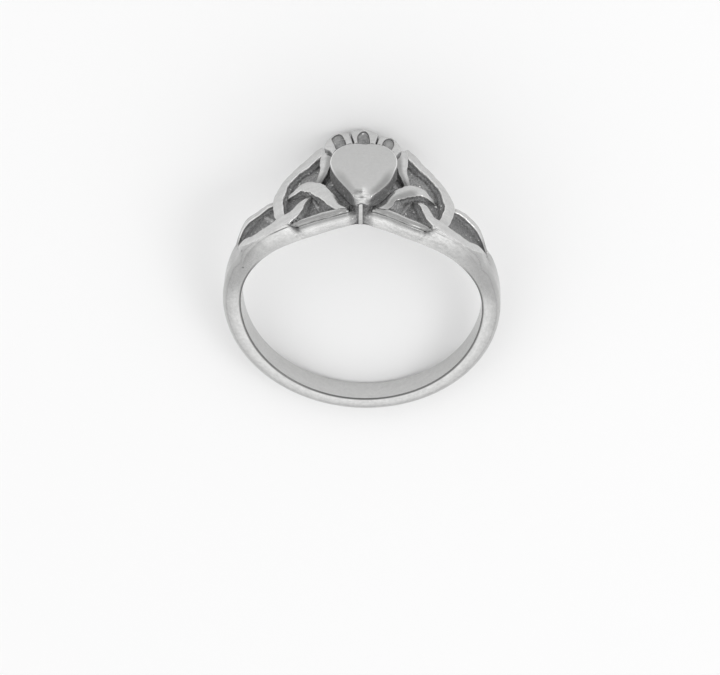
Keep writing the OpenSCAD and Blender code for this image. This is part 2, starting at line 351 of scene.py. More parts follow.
def smoothstep(low, high, x):
    t = np.clip((x - low) / (high - low), 0, 1)
    return t * t * (3 - 2 * t)


def fade(low, high, x):
    """The smooth step at a single place."""
    return float(smoothstep(low, high, x))


def quarter(k, count):
    """The sine and the cosine at step k of count round a quarter of a circle, both taken from 1."""
    t = k / count * pi / 2
    return 1 - sin(t), 1 - cos(t)


class Shell:
    """One closed form of the ring: points in the ring's own axes, faces, and for each point its
    oxide with painted dark lines, the painted light and shade that scale its colour, and how
    streaky filing left it."""

    def __init__(self):
        self.points, self.faces = [], []
        self.values = {"oxide_and_shade": [], "painted_shading": [], "wear": []}

    def ring(self, points, oxide_and_shade, painted_shading=1.0, wear=0.35):
        start = len(self.points)
        self.points.extend(np.asarray(points, float).tolist())
        for name, value in (("oxide_and_shade", oxide_and_shade), ("painted_shading", painted_shading), ("wear", wear)):
            numbers = np.broadcast_to(np.asarray(value, float), len(points))
            self.values[name].extend(numbers.tolist())
        return list(range(start, start + len(points)))

    def join(self, a, b):
        for k in range(len(a)):
            m = (k + 1) % len(a)
            self.faces.append((a[k], a[m], b[m], b[k]))

    def closed(self, loops):
        """The shell with faces between its loops, and a cap on the first and on the last."""
        for a, b in zip(loops, loops[1:]):
            self.join(a, b)
        self.faces.append(tuple(reversed(loops[0])))
        self.faces.append(tuple(loops[-1]))
        return self

    def mirrored(self):
        other = Shell()
        other.points = [[-p[0], p[1], p[2]] for p in self.points]
        other.values = {name: list(value) for name, value in self.values.items()}
        other.faces = [tuple(reversed(f)) for f in self.faces]
        return other


# The two edges of a knot as it runs round the finger: the lowest and the highest strand middle
# at each angle. Between them, and below the strands' tops, the silver is oxidised.

knot_end = 1.065 * knot_reach
knot_step = 0.25
knot_angles = np.arange(0, knot_end + knot_step, knot_step)


def knot_edges():
    low, high = np.full(len(knot_angles), 99.0), np.full(len(knot_angles), -99.0)
    for rows in (OUTER_STRAND, INNER_STRAND, CROSS_STRAND):
        for place in np.arange(0, len(rows) - 1 + 1e-9, 0.01):
            row = rows_at(rows, place)
            k = int(round(knot_reach * row[ALONG] / knot_step))
            if 0 <= k < len(knot_angles):
                across = plate_across(row[ACROSS])
                low[k], high[k] = min(low[k], across), max(high[k], across)
    by_heart, by_crown = OUTER_STRAND[-1], OUTER_STRAND[0]
    low[knot_angles < knot_reach * by_heart[ALONG] + 0.5] = plate_across(by_heart[ACROSS])
    high[knot_angles < knot_reach * by_crown[ALONG] + 0.5] = plate_far + 1
    return low, high


knot_low, knot_high = knot_edges()


def pocket_end(side):
    """The angle at which the last pocket of a knot closes."""
    return knot_end - (3.0 if side < 0 else 1.0)


def inside_knot(angle, across, side):
    """1 between a knot's two edges, 0 outside them."""
    low = np.interp(angle, knot_angles, knot_low)
    high = np.interp(angle, knot_angles, knot_high)
    end = pocket_end(side)
    return fade(-0.06, 0.06, min(across - low, high - across)) * (1 - fade(end - 1.5, end, angle))


# The strands' near sides, which the band's rims follow

def strand_place(rows, place):
    row = rows_at(rows, place)
    return at(knot_reach * row[ALONG], plate_r, plate_across(row[ACROSS]))


def strand_frame(rows, place):
    """A place on a strand: its middle, the way out, the way aside, half its width and its rise."""
    row = rows_at(rows, place)
    here = strand_place(rows, place)
    ahead = strand_place(rows, min(place + 0.1, len(rows) - 1))
    behind = strand_place(rows, max(place - 0.1, 0))
    out = np.array([here[0], here[1], 0]) / hypot(here[0], here[1])
    aside = np.cross(out, ahead - behind)
    aside /= np.linalg.norm(aside)
    return here, out, aside, strand_w * row[WIDTH] / 2, strand_h + weave * row[LEVEL]


def near_side(rows, first):
    """Angle, distance across and radius of the top along a strand's near edge, and its middle,
    from a place to the strand's end."""
    found = []
    for place in np.arange(first, len(rows) - 1 + 1e-6, 0.05):
        here, out, aside, half, top = strand_frame(rows, place)
        edge = here + aside * half * (1 if aside[2] > 0 else -1)
        found.append((degrees(atan2(-edge[0], -edge[1])), -edge[2], plate_r + top, -here[2]))
    found = np.array(found)
    return found[np.argsort(found[:, 0])]


def edge_at(edge, angle):
    """Distance across, radius of the top and middle of the strand at an angle along an edge."""
    return [np.interp(angle, edge[:, 0], edge[:, k]) for k in (1, 2, 3)]


low_edges = {-1: near_side(OUTER_STRAND, 8.4), 1: near_side(OTHER_OUTER, 8.4)}
high_edge = near_side(CROSS_STRAND, 6.4)
far_edges = {-1: near_side(INNER_STRAND, 7.0), 1: near_side(OTHER_INNER, 7.0)}

# How far the near rim lies below the low strand, and the pit in the rim where the cross strand
# ends: its angle on each side, half its width, and how far it cuts in and down
rim_gap = 0.21
pit_angle = {-1: 27.5, 1: 28.7}
pit_half = 2.0
pit_cut, pit_drop = 0.14, 0.2
# The radius of the fine line and of the soft dark band along the near side
near_line_r, near_band_r = 10.06, 10.02
# The angles over which the head gives way to the shoulder, and the shoulder to the shank
head_end, shank_start = (38, 56), (72, 88)


def near_rim(angle, near, side):
    """The near rim at an angle: its distance across, its radius and where its top ends, and how
    much of the pit is there."""
    turn = pit_angle[side]
    low, low_r, _ = edge_at(low_edges[side], angle)
    high, high_r, high_middle = edge_at(high_edge, angle)
    low_rim = (-low, low_r - rim_gap, -low - 0.11)
    high_rim = (max(-high + 0.03, near), high_r - 0.03, -high_middle)
    f = fade(turn - 1.5, turn + 2.5, angle)
    rim = [a * (1 - f) + b * f for a, b in zip(low_rim, high_rim)]
    dip = exp(-((angle - turn) / pit_half) ** 4)
    rim[0] -= pit_cut * dip
    rim[1] -= pit_drop * dip
    return rim, dip


def near_limit(side):
    """The near side at each angle: how far it stands out at its foot and at its rim."""
    angles = np.arange(flute_end, 70, 0.25)
    foot = [spread(band_at(a / knot_reach)[1], plate_near) for a in angles]
    rims = [near_rim(a, near, side)[0] for a, near in zip(angles, foot)]
    return angles, foot, [rim[0] for rim in rims], [rim[1] for rim in rims]


# The band

def toward(values, targets, share):
    return [value + (target - value) * share for value, target in zip(values, targets)]


def band_section(angle, side):
    """The band's outline at an angle, out along the near side, over the top, back along the far
    side and through the bore, with each point's oxide and painted dark lines, painted light and
    shade, and wear."""
    left = side < 0
    cols = band_at(angle / knot_reach)
    near, far = spread(cols[1], plate_near), spread(cols[2], plate_far)
    rise = min(max(cols[3], 0), 1)
    under = (1 - cos(2 * radians(angle - 90))) / 2 if angle > 90 else 0
    shoulder_r = bore_r + shoulder_t + (shank_t - shoulder_t) * under
    fillet = plate_round + (shank_round - plate_round) * rise

    # The rims outside the knot's pockets, which run out into the shoulder and into the flute
    merge = fade(knot_end - 8, knot_end + 3, angle)
    at_post = 1 - fade(flute_end - 2.2, flute_end + 0.8, angle)
    rim, dip = near_rim(angle, near, side)
    rim = toward(rim, (near, shoulder_r, near * 0.4), merge)
    rim_across, rim_r, rim_end = toward(rim, (near, plate_r, near - 0.3), at_post)
    rim_fillet = rim_round + (shank_round - rim_round) * fade(34, knot_end, angle)
    far_r, far_end = plate_r, far - fillet - 0.3
    if angle > 38:
        rise_far = fade(38, 46, angle)
        _, strand_top, middle = edge_at(far_edges[side], angle)
        far_r = plate_r + (strand_top + 0.015 - plate_r) * rise_far
        far_r += (shoulder_r - far_r) * fade(knot_end - 5, knot_end + 3, angle)
        far_end += (middle - far_end) * rise_far
        far_end += (far * 0.4 - far_end) * merge
    far_fillet = min(fillet + 0.1 * merge, shank_round)
    end = pocket_end(side)
    ground = plate_r + (min(rim_r, far_r) - plate_r) * fade(end - 0.9, end + 0.2, angle)

    # The head, the shoulders and the shank each get painted light and shade of their own: the
    # shoulders and the shank are painted darker than the head, the near bore edge darker from the
    # shoulders on, and the near side lighter by the heart, more so on one side.
    head = 1 - fade(*head_end, angle)
    shank = fade(*shank_start, angle)
    shoulder = 1 - head - shank
    outside = head + 0.72 * shoulder + 0.84 * shank
    rim_tone = 0.95 * head + 0.7 * shoulder + 0.78 * shank
    corner = 0.28 + 0.72 * (1 - fade(48, 66, angle))
    wear = 0.1 + (0.12 if left else 0.3) * head + 0.12 * shank + 0.8 * dip
    pit = dip * (1.0 if left else 0.6)
    by_heart = 1 - fade(24, 30, angle)
    outward = fade(18, 30, angle)
    painted_side_light = 1.18 - 0.18 * outward if left else 1.06 - 0.12 * outward

    def side_tone(f):
        """The near side's painted light and shade at a share of its height."""
        painted_by_height = (by_heart * np.interp(f, (0, 0.3, 0.52, 0.68, 0.82, 1),
                                     (0.9, 1.0, 1.16, 1.28, 0.72, 0.5))
                + (1 - by_heart) * np.interp(f, (0, 0.4, 0.7, 0.9, 1), (0.9, 1.0, 1.2, 1.28, 1.0)))
        return (head * painted_side_light * painted_by_height
                + shoulder * np.interp(f, (0, 0.3, 1), (0.86, 0.78, 0.7))
                + shank * np.interp(f, (0, 0.35, 0.7, 1), (1.0, 1.03, 0.95, 0.82)))

    rows = []

    def add(radius, across, dark=0.0, painted_shading=1.0, filed=0.35):
        rows.append([radius, across, dark, painted_shading, filed])

    # The near bore edge is painted darker from the shoulders on, as a line of shade.
    for k in range(4):
        s, c = quarter(k, 3)
        add(bore_r + bore_edge * c, -near + bore_edge * s, 0, corner, 0)

    # The near side. A fine line of painted shade runs along it where the cross strand ends, clearer
    # on one side, and a soft band of painted shade lies beyond the line.
    wall_top = rim_r - rim_fillet
    foot_r = bore_r + bore_edge
    line_r = min(near_line_r, wall_top - 0.08)
    line = fade(29, 31, angle) * (1 - fade(33, 43, angle)) * (1.0 if left else 0.35)
    band_r = near_band_r - 0.35 * fade(40, 62, angle)
    band_dark = fade(30, 36, angle) * (1 - fade(54, 68, angle)) * (0.2 if left else 0.1)
    steps = [(foot_r + (line_r - 0.05 - foot_r) * k / 6, 0) for k in range(1, 7)]
    steps += [(line_r - 0.025, 0.8), (line_r, 1), (line_r + 0.025, 0.8), (line_r + 0.05, 0)]
    for r, share in steps:
        f = (r - foot_r) / (wall_top - foot_r)
        in_line, in_pit = line * share, pit * f * f
        in_band = band_dark * exp(-((r - band_r) / 0.3) ** 2)
        add(r, -near + (near - rim_across) * f + 0.03 * in_line, max(in_pit, in_line),
            side_tone(f) * (1 - 0.4 * in_line) * (1 - 0.5 * in_pit) * (1 - in_band), wear)
    for k in range(9):
        s, c = quarter(k, 8)
        painted_shading = side_tone(1) + (rim_tone - side_tone(1)) * k / 8
        add(rim_r - rim_fillet * s, -rim_across + rim_fillet * c, pit, painted_shading * (1 - 0.5 * pit), wear)
    for k in range(1, 7):
        top = -rim_across + rim_fillet + (rim_across - rim_fillet - rim_end) * (k / 6)
        add(rim_r, top, max(pit, (k > 3) * (1 - fade(28, 31, angle))), outside)
    near_points = len(rows)

    # The ground between the rims, oxidised. Its oxide is darkest beside the heart; painted light
    # lifts it toward the crown and in the narrow corners at the heart's foot, against the shade of
    # the deep pockets, and the ground rises in a fillet at the heart's foot.
    start, stop, count = -rim_end + 0.05, far_end - 0.05, 26
    for k in range(count + 1):
        a = start + (stop - start) * k / count
        covered = inside_knot(angle, a, side)
        oxide_and_painted_fill = 0.72 + 0.18 * fade(16, 26, angle) + 0.7 * fade(-0.5, 3.2, a)
        to_heart = (abs(ground * sin(radians(angle)))
                    - np.interp(-a, HEART_SIDE[:, 0], HEART_SIDE[:, 1]))
        fill = (1 - fade(0.1, 0.85, to_heart)) * fade(1.5, 3.5, angle) * (-2.5 < a < 2)
        oxide_and_painted_fill += (0.0 if left else 0.4) * fill + 0.4 * fade(0, 1, a) * (to_heart < 0.6)
        add(ground + 0.45 * fill * covered, a, covered, outside + (oxide_and_painted_fill - outside) * covered)

    # The far side and the bore, the bore painted a little darker as shade
    for k in range(5):
        add(far_r, far_end + (far - far_fillet - far_end) * k / 5, 0, outside)
    for k in range(9):
        s, c = quarter(8 - k, 8)
        add(far_r - far_fillet * s, far - far_fillet * c, 0, outside)
    for k in range(5, 0, -1):
        add(bore_r + bore_edge + (far_r - far_fillet - bore_r - bore_edge) * k / 6, far)
    for k in range(4):
        s, c = quarter(3 - k, 3)
        add(bore_r + bore_edge * c, far - bore_edge * s)
    for k in range(8):
        inner = far - bore_edge + (bore_edge + 0.03 - near - far + bore_edge) * k / 7
        add(bore_r, inner, 0, 0.94, 0.1)

    # The flutes beside the post are dark, and the dark fades outward along the near side. A line of
    # painted shade runs beside the post, darker on one side.
    for row in rows[:near_points] if angle < 30 else ():
        x = abs(row[0] * sin(radians(angle)))
        row[1] += flute_deep * (1 - fade(0.25, 0.95, x))
        row[2] = max(row[2], 0.75 * (1 - fade(0.25, 1.1, x)) + 0.25 * (x < 0.26))
        row[3] *= 0.5 if left and 0.14 < x < 0.25 else 1
    radii, across, dark, painted_shading, filed = np.array(rows, float).T
    return at(side * angle, radii, across), dark, painted_shading, filed


def band():
    shell = Shell()
    angles = [*np.arange(0, 6, 0.2), *np.arange(6, 66, 0.6), *np.arange(66, 90, 1.5),
              *np.arange(90, 180, 2.0)]
    places = [(a, 1) for a in angles] + [(180, 1)] + [(a, -1) for a in reversed(angles[1:])]
    loops = [shell.ring(*band_section(angle, side)) for angle, side in places]
    for k in range(len(loops)):
        shell.join(loops[(k + 1) % len(loops)], loops[k])
    return shell


# The strands

strand_spacing = 0.085
strand_edge = 0.13
strand_dome = 0.035
strand_foot = 0.075


def zigzag(x):
    return 4 * abs(x - np.floor(x + 0.5)) - 1


def strand_profile(half, top, dome):
    """Half round a strand, from its root over its flank and its domed top to the other root:
    distance aside, height, and whether the point belongs to its foot."""
    edge = min(strand_edge, half * 0.6, top * 0.7)
    flank = [(half + strand_foot, -root, 1), (half + strand_foot, 0, 1),
             (half + strand_foot * 0.4, 0.025, 1), (half, 0.08, 1)]
    flank += [(half, 0.08 + (top - edge - 0.08) * k / 4, 0) for k in range(1, 4)]
    for k in range(7):
        s, c = quarter(k, 6)
        flank.append((half - edge * c, top - edge * s, 0))
    over = [(-half + edge + 2 * (half - edge) * f, top + dome * 4 * f * (1 - f), 0)
            for f in (k / 8 for k in range(1, 8))]
    return [(-a, h, f) for a, h, f in flank] + over + flank[::-1], edge


def strand(rows, phase, side, rimmed=None, lean=None, rise=1.0, oxide_and_painted_fill=0.0):
    """A strand swept along its rows. rimmed names the place after which its near side stands in
    from the rim, with a fine dark groove between them. lean names the places between which one of
    its sides is painted darker as shade, and which. The last two are shares of the height and of
    the oxide."""
    shell = Shell()
    limit_angles, *limits = near_limit(side)
    last = len(rows) - 1
    count = int(round(last / strand_spacing))
    ends = (strand_place(rows, 0), strand_place(rows, last))
    loops = []
    for n in range(count + 1):
        place = last * n / count
        here, out, aside, half, top = strand_frame(rows, place)
        near = 1 if aside[2] > 0 else -1
        # Cut by hand in short strokes, so each edge wanders by itself
        wander = {way: 1 + 0.075 * zigzag(0.71 * place + phase + 0.4 * way)
                  + 0.045 * zigzag(1.9 * place + 2 * phase + 0.23 * way) for way in (-1, 1)}
        # Its ends are rounded off.
        reach = min(np.linalg.norm(here - e) for e in ends)
        nose = sqrt(max(1 - (1 - min(reach / 0.2, 1)) ** 2, 0.02))
        half *= nose
        top = top * rise * (0.55 + 0.45 * nose)
        profile, edge = strand_profile(half, top, strand_dome * rise)
        # It is painted darker, as shade, where it passes under another one.
        painted_under_shade = 0.95 * (1 - 0.42 * fade(0.3, 2.0, -rows_at(rows, place)[LEVEL]))
        in_rim = bool(rimmed) and place > rimmed
        points, dark, painted_tones = [], [], []
        for across, height, is_foot in profile:
            sign = 1 if across > 0 else -1
            depth = top - height
            p = here + aside * (across * wander[sign]) + out * height
            angle = degrees(atan2(abs(p[0]), -p[1]))
            inner = inside_knot(angle, -p[2], side)
            if is_foot and abs(across) > half:
                reached = sign * half * wander[sign] + (across - sign * half) * inner
                p = here + aside * reached + out * height
            shade = inner * fade(0.1, 0.2, depth)
            wall = inner * fade(0.15, 0.35, depth)
            # Inside the knot its walls are painted lighter against the pocket's shade, and its foot
            # darker, as shade.
            painted_shading = painted_under_shade * (1 + wall * (-0.2 if is_foot else 0.9))
            # One side is painted darker over these places, as shade.
            if lean and lean[0] < place < lean[1]:
                closer = degrees(atan2(abs(here[0]), -here[1])) - angle
                darker = (across * near / half if lean[2] == "near"
                          else copysign(across / half, closer))
                run = (fade(lean[0], lean[0] + 1, place)
                       * (1 - fade(lean[1] - 1, lean[1], place)))
                painted_shading *= 1 - 0.42 * run * (1 - wall) * fade(-0.3, 0.4, darker)
            if in_rim and across * near > 0:
                run = fade(rimmed, rimmed + 0.5, place)
                p = p - aside * near * run * (0.06 + 0.3 * fade(0.24, 0.34, depth))
                run *= 0.4 + 0.6 * fade(last - 1.4, last - 0.5, place)
                shade = max(shade, run * fade(0.13, 0.2, depth))
            if flute_end < angle < 68 and not (in_rim and place > rimmed + 0.5):
                foot_across, rim_across, rim_r = (
                    np.interp(angle, limit_angles, column) for column in limits)
                f = np.clip((hypot(p[0], p[1]) - bore_r) / (rim_r - 0.1 - bore_r), 0, 1)
                p[2] = min(p[2], foot_across + (rim_across - foot_across) * f - 0.03)
            # A painted highlight along the rounding of its top edges
            if 0.1 * edge < depth < 0.8 * edge:
                painted_shading *= 1.16
            points.append(p)
            dark.append(max(shade, oxide_and_painted_fill))
            painted_tones.append(painted_shading)
        loops.append(shell.ring(points, dark, painted_tones, 0.22))
    return shell.closed(loops)


# The heart

def heart_outline():
    """The outline's points, evenly spaced, with the corners at the point eased."""
    def bezier(p, t):
        return ((1 - t) ** 3 * p[0] + 3 * t * (1 - t) ** 2 * p[1]
                + 3 * t * t * (1 - t) * p[2] + t ** 3 * p[3])

    half = [bezier(HEART_HALF[:4], t) for t in np.linspace(0, 1, 200)]
    half += [bezier(HEART_HALF[3:], t) for t in np.linspace(0, 1, 200)[1:]]
    half = np.array([[p[0] * heart_w / 2, heart_top - p[1] * heart_l] for p in half])
    even, space = evenly(np.vstack([half, (half * [-1, 1])[::-1][:-1]]), 720)
    easing = 0.055 / space
    taps = np.arange(-30, 31)
    weight = np.exp(-taps ** 2 / (2 * easing ** 2))
    weight /= weight.sum()
    eased = sum(w * np.roll(even, -t, axis=0) for w, t in zip(weight, taps))
    # As cast, the lower side is fuller to the right.
    down = -eased[:, 1]
    full = smoothstep(-0.5, 1.5, down) * (1 - 0.6 * smoothstep(2.2, 2.7, down))
    eased[:, 0] += 0.31 * full * np.clip(eased[:, 0] / 0.4, 0, 1)
    return eased[::3]


heart_loop = heart_outline()
heart_aside = 0.06


def heart():
    shell = Shell()
    x, down = heart_loop[:, 0], (heart_top - heart_loop[:, 1]) / heart_l

    def eased(values):
        return sum(np.roll(values, k, axis=0) for k in range(-5, 6)) / 11

    # The face slopes off widely along its two lower sides, and is rounded over at the nose.
    nose = eased(np.exp(-((x - 0.05) / 0.6) ** 4) * (heart_loop[:, 1] < -1.5))
    nose_in, nose_drop = 0.95, 0.62
    wide = smoothstep(0.3, 0.7, down)
    painted_flank_shade = (0.26 + 0.14 * smoothstep(0, 0.5, x)) * smoothstep(0.42, 0.75, down)
    slope_in = eased(0.12 + 0.75 * wide)
    slope_drop = eased(0.1 * wide)
    edge_in = eased(0.07 - 0.01 * wide)
    edge_drop = eased(0.08 + 0.06 * wide)
    inward = np.array([0, 0.8]) - heart_loop
    inward /= np.linalg.norm(inward, axis=1)[:, None]
    foot = 0.12 + 0.1 * nose
    wall_foot = heart_r - heart_t + 0.42 * nose
    wall_top = heart_r - (1 - nose) * (slope_drop + edge_drop) - nose * nose_drop
    wall_shade, wall_tone = 1 - 0.95 * nose, 0.46 + 0.69 * nose
    wall_wear = (0.4 + 0.9 * smoothstep(0, 0.5, x)) * (1 - nose) + 0.5 * nose
    levels = []

    def level(inset, radius, shade, painted_shading=1.0, wear=0.0, taper=0.0):
        loop = heart_loop + inward * np.broadcast_to(inset, len(x))[:, None]
        loop = loop * np.stack([1 - taper * nose, np.ones(len(x))], -1) + [heart_aside, 0]
        levels.append(shell.ring(flat(loop, radius), shade, painted_shading, wear))

    # The foot is oxidised and painted darker, most under the nose, as shade. The walls are oxidised
    # and painted dark, less so toward their foot, as shade; the nose's wall is bare and carries
    # painted light.
    level(foot, plate_r - root, 1.0, 0.9, 0.3, 0.6)
    for k in range(5):
        t = k / 5 * pi / 2
        level(foot * (1 - sin(t)), wall_foot - foot * cos(t), 1.0, 0.85 - 0.4 * nose, 0.3, 0.45)
    for k in range(8):
        f = k / 8
        level(0, wall_foot + (wall_top - wall_foot) * f, wall_shade,
              wall_tone + 0.24 * (1 - nose) * (1 - f) ** 2, wall_wear,
              0.42 * (1 - smoothstep(0, 1, f)))
    # A fine edge with a painted highlight and a painted dark outline, and a slope painted greyer
    # than the face as shade;
    # the face itself is painted a little darker, as a painted reflection. Over the nose one
    # rounding takes their place, with a painted dark arc on the left of it and a painted highlight
    # on the right.
    steps = 22
    for k in range(steps):
        if k < 9:
            s, c = quarter(k, 8)
            inset = edge_in * c
            drop = slope_drop + edge_drop * s
            shade = 1 - smoothstep(0.1, 0.4, k / 8)
            painted_shading = 1.42 - (0.57 + 0.5 * painted_flank_shade) * wide
        else:
            f = (k - 8) / (steps - 9)
            inset = edge_in + (slope_in - edge_in) * f
            drop = slope_drop * (1 - f) ** 2
            shade = 0.0
            painted_shading = 0.87 * (1 - painted_flank_shade * (1 - smoothstep(0.25, 1.0, f)))
        s, c = quarter(k, steps - 1)
        inset = (1 - nose) * inset + nose * nose_in * c
        drop = (1 - nose) * drop + nose * nose_drop * s
        arc = np.exp(-((k / steps - 0.62) / 0.2) ** 2)
        over = (1.08 - 0.52 * arc * (1 - smoothstep(-0.02, 0.12, x))
                + 0.22 * arc * np.exp(-((x - 0.2) / 0.15) ** 2)
                - 0.2 * smoothstep(0.8, 1, k / steps))
        level(inset, heart_r - drop, shade * (1 - nose), (1 - nose) * painted_shading + nose * over,
              1.1 * nose * (1 - smoothstep(0.6, 0.9, k / steps)))
    return shell.closed(levels)


# The crown

def closed_curve(points, count):
    """A smooth closed curve through points, evenly spaced."""
    p = np.array(points, float)
    n = len(p)
    curve = [through(p[i - 1], p[i], p[(i + 1) % n], p[(i + 2) % n], f)
             for i in range(n) for f in np.arange(0, 1, 0.05)]
    return evenly(np.array(curve), count)[0]


def by_angle(curve, centre, angles):
    """The curve's points seen from a centre at the angles."""
    d = curve - centre
    a = np.unwrap(np.arctan2(d[:, 1], d[:, 0]))
    if a[-1] < a[0]:
        a, d = a[::-1], d[::-1]
    r = np.linalg.norm(d, axis=1)
    turned = np.mod(angles - a[0], 2 * pi) + a[0]
    radius = np.interp(turned, np.r_[a, a[0] + 2 * pi], np.r_[r, r[0]])
    return centre + np.stack([radius * np.cos(angles), radius * np.sin(angles)], -1)


def outline_normals(outline):
    tangent = np.roll(outline, -1, axis=0) - np.roll(outline, 1, axis=0)
    normal = np.stack([tangent[:, 1], -tangent[:, 0]], -1)
    normal /= np.linalg.norm(normal, axis=1)[:, None]
    return normal if ((outline - outline.mean(0)) * normal).sum() >= 0 else -normal


lobe_points = 144
lobe_roll = 0.09
window_edge = 0.03


def lobe(name):
    shell = Shell()
    face = crown_r if name == "middle" else outer_lobe_r
    angles = np.linspace(0, 2 * pi, lobe_points, endpoint=False)
    window = closed_curve(LOBES[name]["window"], 400)
    centre = window.mean(0)
    outline = by_angle(closed_curve(LOBES[name]["outline"], 600), centre, angles)
    window = by_angle(window, centre, angles)
    out, from_window = outline_normals(outline), outline_normals(window)
    # The foot of an outer lobe reaches out to crown_top, where the ring rests.
    base = outline.copy()
    if name != "middle":
        base[:, 1] += (crown_top - outline[:, 1].max()) * smoothstep(4.6, 5.3, outline[:, 1])

    # Oxide and a painted line of shade lie along the heart's back edge, as far as the heart hides
    # it from the front.
    border = heart_loop[heart_loop[:, 1] > 1.5]
    border = border[np.argsort(border[:, 0])]
    hidden = (heart_r - face) / tan(camera_lift)
    levels = []

    def level(loop, radius, shade, painted_shading=1.0):
        beyond = loop[:, 1] - np.interp(loop[:, 0], border[:, 0], border[:, 1])
        by_heart = (1 - smoothstep(hidden + 0.04, hidden + 0.13, beyond)) * (radius > face - 0.25)
        shade = np.maximum(np.broadcast_to(shade, lobe_points), by_heart)
        levels.append(shell.ring(flat(loop, radius), shade, painted_shading, 0.2))

    # The side toward the heart is dark.
    wall = smoothstep(-0.45, 0.1, -out[:, 1])
    for k in range(9):
        f = k / 9
        level(base + (outline - base) * f, face - crown_t + (crown_t - lobe_roll) * f, wall,
              1 - 0.1 * wall)
    for k in range(7):
        s, c = quarter(k, 6)
        level(outline - out * (lobe_roll * c), face - lobe_roll * s, 0.5 * wall * (k < 2))
    top_out, top_in = outline - out * lobe_roll, window + from_window * window_edge
    for k in range(1, 8):
        f = k / 8
        level(top_out + (top_in - top_out) * f, face + 0.03 * sin(pi * f), 0.0)
    for k in range(5):
        s, c = quarter(k, 4)
        level(window + from_window * (window_edge * s), face - window_edge * c, 0.9 * k / 4)
    # A smooth bead fills the window but for a dark line round it. The beads are painted lighter
    # toward their middle, as shading, with a painted highlight on the middle one.
    floor = face - 0.07
    level(window, face - 0.05, 1.0, 0.75)
    level(window - from_window * 0.02, floor, 1.0, 0.6)
    for k in range(11):
        t = k / 10
        loop = centre + (window - centre) * (0.95 - 0.9 * t)
        painted_glint = np.exp(-(np.hypot(loop[:, 0] - BEAD_HIGHLIGHT[0], loop[:, 1] - BEAD_HIGHLIGHT[1]) / 0.09) ** 4)
        level(loop, floor + 0.09 * sqrt(1 - (1 - t) ** 2 * 0.98),
              (0.66 - 0.1 * fade(0.3, 0.9, t)) * (1 - painted_glint),
              0.62 + 0.22 * fade(0, 0.2, t) + 1.6 * painted_glint)
    return shell.closed(levels)


# The post

def post():
    shell = Shell()
    round_r = 0.09
    flat_w = post_w / 2 - round_r
    middle = -spread(BAND[0][1], plate_near) + post_w / 2
    corners = []
    for cx, cy, start in ((1, 1, 0), (-1, 1, 90), (-1, -1, 180), (1, -1, 270)):
        for k in range(7):
            t = radians(start + k * 15)
            corners.append((cx * flat_w + round_r * cos(t),
                            middle + cy * flat_w + round_r * sin(t)))
    # The post is painted lighter toward its top, as a painted highlight.
    bottom, top = bore_r + 0.02, heart_r - heart_t + 0.5
    levels = [shell.ring(flat(corners, bottom + (top - bottom) * k / 8), 0.0,
                         0.72 + 0.34 * k / 8, 0.2) for k in range(9)]
    return shell.closed(levels)


# One casting: the shells are one piece

def make_piece(name, shells, material):
    points, faces = [], []
    values = {"oxide_and_shade": [], "painted_shading": [], "wear": []}
    for shell in shells:
        start = len(points)
        points += shell.points
        for value in values:
            values[value] += shell.values[value]
        faces += [tuple(i + start for i in f) for f in shell.faces]
    mesh = bpy.data.meshes.new(name)
    mesh.from_pydata(to_row(points).tolist(), [], faces)
    for value, numbers in values.items():
        layer = mesh.attributes.new(value, "FLOAT", "POINT")
        layer.data.foreach_set("value", np.array(numbers, np.float32))
    # Round the ring, out from the finger and along it, for marks that follow the ring's run
    x, y, z = np.array(points).T
    run = np.stack([np.arctan2(x, -y) * plate_r / 3, np.hypot(x, y), z], -1)
    layer = mesh.attributes.new("run", "FLOAT_VECTOR", "POINT")
    layer.data.foreach_set("vector", run.astype(np.float32).ravel())
    mesh.materials.append(material)
    mesh.validate()
    for polygon in mesh.polygons:
        polygon.use_smooth = True
    mesh.set_sharp_from_angle(angle=radians(38))
    piece = bpy.data.objects.new(name, mesh)
    bpy.context.scene.collection.objects.link(piece)
    return piece


# Materials

def node(tree, kind, inputs=None, **settings):
    n = tree.nodes.new(kind)
    for key, value in settings.items():
        setattr(n, key, value)
    for key, value in (inputs or {}).items():
        if isinstance(value, bpy.types.NodeSocket):
            tree.links.new(value, n.inputs[key])
        else:
            n.inputs[key].default_value = value
    return n


